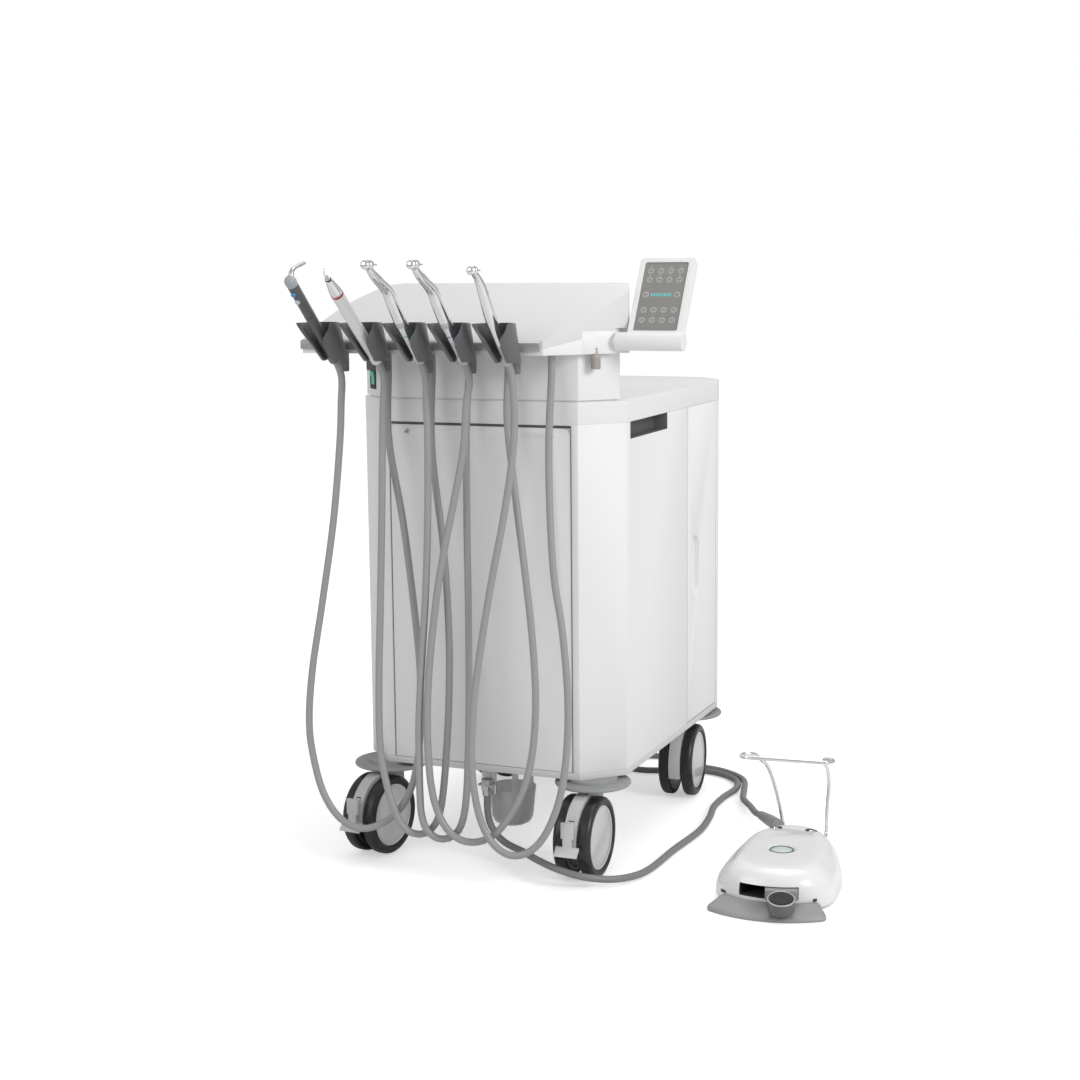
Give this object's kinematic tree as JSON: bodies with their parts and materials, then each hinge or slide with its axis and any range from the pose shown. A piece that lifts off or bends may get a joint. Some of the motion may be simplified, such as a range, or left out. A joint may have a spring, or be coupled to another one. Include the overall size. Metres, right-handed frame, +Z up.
{
  "type": "portable dental unit",
  "caption": "Dental treatment cabinet on braked twin-wheel casters, with a sloped instrument console, handpieces on hanging hoses, a tilting keypad panel and a lever foot control.",
  "frame": {"origin": "middle of the footprint on the floor, measured over the cabinet, the console and the foot control, without the hoses", "axes": "+X to the unit's right, +Z up, the instruments face -Y; the worktop is a level face with its normal along +Z"},
  "size_m": [0.8398, 0.9275, 0.9375],
  "materials": {
    "cabinet_white": "matt white powder coat, fine grain",
    "base_grey": "matt light grey enamel",
    "worktop_white": "satin white moulding with softened edges",
    "console_white": "fine-grained white moulding",
    "console_grey": "fine-grained pale grey moulding",
    "rail_grey": "satin anodised extrusion",
    "holder_grey": "satin dark grey moulding",
    "knob_grey": "ribbed warm grey plastic",
    "hose_grey": "smooth satin silicone hose",
    "tyre_black": "smooth black tread with pale grey hub caps",
    "caster_silver": "satin silver-grey moulding",
    "disc_grey": "soft grey bumper rubber",
    "pedal_silver": "satin silver-grey moulding",
    "bowl_clear": "translucent grey plastic",
    "bright_steel": "satin stainless steel",
    "polished_steel": "polished and satin bands",
    "scaler_white": "white sleeve with a polished front",
    "syringe_grey": "satin dark grey body",
    "button_blue": "blue and pale caps",
    "rocker_black": "black frame",
    "rocker_green": "glowing green rocker",
    "keypad_grey": "embossed warm grey film with teal-green lamps",
    "machine_grey": "cast and painted machine parts",
    "bottle_clear": "clear bottle, screw cap",
    "foot_white": "glossy white moulding",
    "foot_grey": "satin mid-grey moulding",
    "lever_dark": "grey arm with a black ribbed pad"
  },
  "bodies": {
    "cabinet": {"base_plate": "base_grey", "front_frame": "cabinet_white", "side_panel_left": "cabinet_white", "side_panel_right": "cabinet_white", "rear_cover": "cabinet_white", "top_slab": "worktop_white", "access_panel": "cabinet_white", "compressor": "machine_grey", "water_bottle": "bottle_clear", "valve_block": "machine_grey", "bumper_discs": "disc_grey", "drain_bowl": "bowl_clear", "hose_gland": "bright_steel", "column": "console_white", "rocker_frame": "rocker_black", "console_base": "console_white", "console_cover": "console_grey", "holder_rail": "rail_grey", "instrument_holders": "holder_grey", "hinge_arm": "console_white", "syringe": "syringe_grey", "scaler": "scaler_white", "contra_angle_left": "polished_steel", "contra_angle_right": "polished_steel", "turbine": "polished_steel", "hose_1": "hose_grey", "hose_2": "hose_grey", "hose_3": "hose_grey", "hose_4": "hose_grey", "hose_5": "hose_grey", "foot_hose": "hose_grey", "foot_base": "foot_grey", "foot_housing": "foot_white"},
    "swivel_front_left": {"caster_front_left": "caster_silver"},
    "rolling_front_left": {"wheels_front_left": "tyre_black"},
    "swivel_front_right": {"caster_front_right": "caster_silver"},
    "rolling_front_right": {"wheels_front_right": "tyre_black"},
    "swivel_rear_left": {"caster_rear_left": "caster_silver"},
    "rolling_rear_left": {"wheels_rear_left": "tyre_black"},
    "swivel_rear_right": {"caster_rear_right": "caster_silver"},
    "rolling_rear_right": {"wheels_rear_right": "tyre_black"},
    "brake_pedal_left": {"brake_left": "pedal_silver"},
    "brake_pedal_right": {"brake_right": "pedal_silver"},
    "door": {"service_door": "cabinet_white"},
    "rocker": {"power_rocker": "rocker_green"},
    "panel": {"control_panel": "console_white", "keypad": "keypad_grey"},
    "knob_1": {"knob_1": "knob_grey"},
    "knob_2": {"knob_2": "knob_grey"},
    "knob_3": {"knob_3": "knob_grey"},
    "knob_4": {"knob_4": "knob_grey"},
    "knob_5": {"knob_5": "knob_grey"},
    "knob_left": {"knob_left": "knob_grey"},
    "knob_right": {"knob_right": "knob_grey"},
    "air_button": {"air_button": "button_blue"},
    "water_button": {"water_button": "button_blue"},
    "lever": {"foot_lever": "lever_dark"},
    "bail": {"foot_bail": "bright_steel"},
    "stud_left": {"foot_button_left": "bright_steel"},
    "stud_right": {"foot_button_right": "bright_steel"}
  },
  "joints": [
    {"name": "swivel_turn_front_left", "type": "hinge", "parent": "cabinet", "child": "swivel_front_left", "pos_m": [-0.32341, -0.1525, 0.135], "axis": [0, 0, 1], "continuous": true},
    {"name": "wheel_roll_front_left", "type": "hinge", "parent": "swivel_front_left", "child": "rolling_front_left", "pos_m": [-0.3287, -0.19013, 0.0625], "axis": [-0.9903, 0.1392, 0], "continuous": true},
    {"name": "swivel_turn_front_right", "type": "hinge", "parent": "cabinet", "child": "swivel_front_right", "pos_m": [0.02259, -0.1525, 0.135], "axis": [0, 0, 1], "continuous": true},
    {"name": "wheel_roll_front_right", "type": "hinge", "parent": "swivel_front_right", "child": "rolling_front_right", "pos_m": [0.02259, -0.1905, 0.0625], "axis": [-1, 0, 0], "continuous": true},
    {"name": "swivel_turn_rear_left", "type": "hinge", "parent": "cabinet", "child": "swivel_rear_left", "pos_m": [-0.32341, 0.3275, 0.135], "axis": [0, 0, 1], "continuous": true},
    {"name": "wheel_roll_rear_left", "type": "hinge", "parent": "swivel_rear_left", "child": "rolling_rear_left", "pos_m": [-0.32606, 0.28959, 0.0625], "axis": [-0.9976, 0.0698, 0], "continuous": true},
    {"name": "swivel_turn_rear_right", "type": "hinge", "parent": "cabinet", "child": "swivel_rear_right", "pos_m": [0.02259, 0.3275, 0.135], "axis": [0, 0, 1], "continuous": true},
    {"name": "wheel_roll_rear_right", "type": "hinge", "parent": "swivel_rear_right", "child": "rolling_rear_right", "pos_m": [0.02524, 0.28959, 0.0625], "axis": [-0.9976, -0.0698, 0], "continuous": true},
    {"name": "brake_press_left", "type": "hinge", "parent": "swivel_front_left", "child": "brake_pedal_left", "pos_m": [-0.33677, -0.24757, 0.0925], "axis": [-0.9903, 0.1392, 0], "range_deg": [-8, 0]},
    {"name": "brake_press_right", "type": "hinge", "parent": "swivel_front_right", "child": "brake_pedal_right", "pos_m": [0.02259, -0.2485, 0.0925], "axis": [-1, 0, 0], "range_deg": [-8, 0]},
    {"name": "door_swing", "type": "hinge", "parent": "cabinet", "child": "door", "pos_m": [0.06459, 0.3325, 0.156], "axis": [0, 0, 1], "range_deg": [0, 105]},
    {"name": "rocker_tilt", "type": "hinge", "parent": "cabinet", "child": "rocker", "pos_m": [-0.33558, -0.15567, 0.755], "axis": [0.7071, -0.7071, 0], "range_deg": [-16, 0]},
    {"name": "panel_tilt", "type": "hinge", "parent": "cabinet", "child": "panel", "pos_m": [0.06459, -0.1545, 0.815], "axis": [1, 0, 0], "range_deg": [-30, 30]},
    {"name": "knob_1_turn", "type": "hinge", "parent": "cabinet", "child": "knob_1", "pos_m": [-0.35534, -0.2215, 0.797], "axis": [0, 0, 1], "range_deg": [-135, 135]},
    {"name": "knob_2_turn", "type": "hinge", "parent": "cabinet", "child": "knob_2", "pos_m": [-0.28403, -0.2215, 0.797], "axis": [0, 0, 1], "range_deg": [-135, 135]},
    {"name": "knob_3_turn", "type": "hinge", "parent": "cabinet", "child": "knob_3", "pos_m": [-0.21274, -0.2215, 0.797], "axis": [0, 0, 1], "range_deg": [-135, 135]},
    {"name": "knob_4_turn", "type": "hinge", "parent": "cabinet", "child": "knob_4", "pos_m": [-0.14144, -0.2215, 0.797], "axis": [0, 0, 1], "range_deg": [-135, 135]},
    {"name": "knob_5_turn", "type": "hinge", "parent": "cabinet", "child": "knob_5", "pos_m": [-0.07014, -0.2215, 0.797], "axis": [0, 0, 1], "range_deg": [-135, 135]},
    {"name": "knob_left_turn", "type": "hinge", "parent": "cabinet", "child": "knob_left", "pos_m": [-0.32993, -0.182, 0.797], "axis": [0, 0, 1], "range_deg": [-135, 135]},
    {"name": "knob_right_turn", "type": "hinge", "parent": "cabinet", "child": "knob_right", "pos_m": [0.03907, -0.1755, 0.797], "axis": [0, 0, 1], "range_deg": [-135, 135]},
    {"name": "air_button_press", "type": "slide", "parent": "cabinet", "child": "air_button", "axis": [0, 0.682, 0.7314], "range_m": [0, 0.002], "stiffness_N_per_m": 400, "springref_m": -0.002},
    {"name": "water_button_press", "type": "slide", "parent": "cabinet", "child": "water_button", "axis": [0, 0.682, 0.7314], "range_m": [0, 0.002], "stiffness_N_per_m": 400, "springref_m": -0.002},
    {"name": "lever_swing", "type": "hinge", "parent": "cabinet", "child": "lever", "pos_m": [0.31959, -0.1405, 0.02], "axis": [0, 0, 1], "range_deg": [-19.8, 0], "stiffness_Nm_per_rad": 0.6, "springref_deg": 5.73},
    {"name": "bail_swing", "type": "hinge", "parent": "cabinet", "child": "bail", "pos_m": [0.30595, 0.02193, 0.018], "axis": [0.9965, 0.0837, 0], "range_deg": [-20, 20]},
    {"name": "stud_press_left", "type": "slide", "parent": "cabinet", "child": "stud_left", "axis": [0, 0, -1], "range_m": [0, 0.004], "stiffness_N_per_m": 400, "springref_m": -0.003},
    {"name": "stud_press_right", "type": "slide", "parent": "cabinet", "child": "stud_right", "axis": [0, 0, -1], "range_m": [0, 0.004], "stiffness_N_per_m": 400, "springref_m": -0.003}
  ]
}
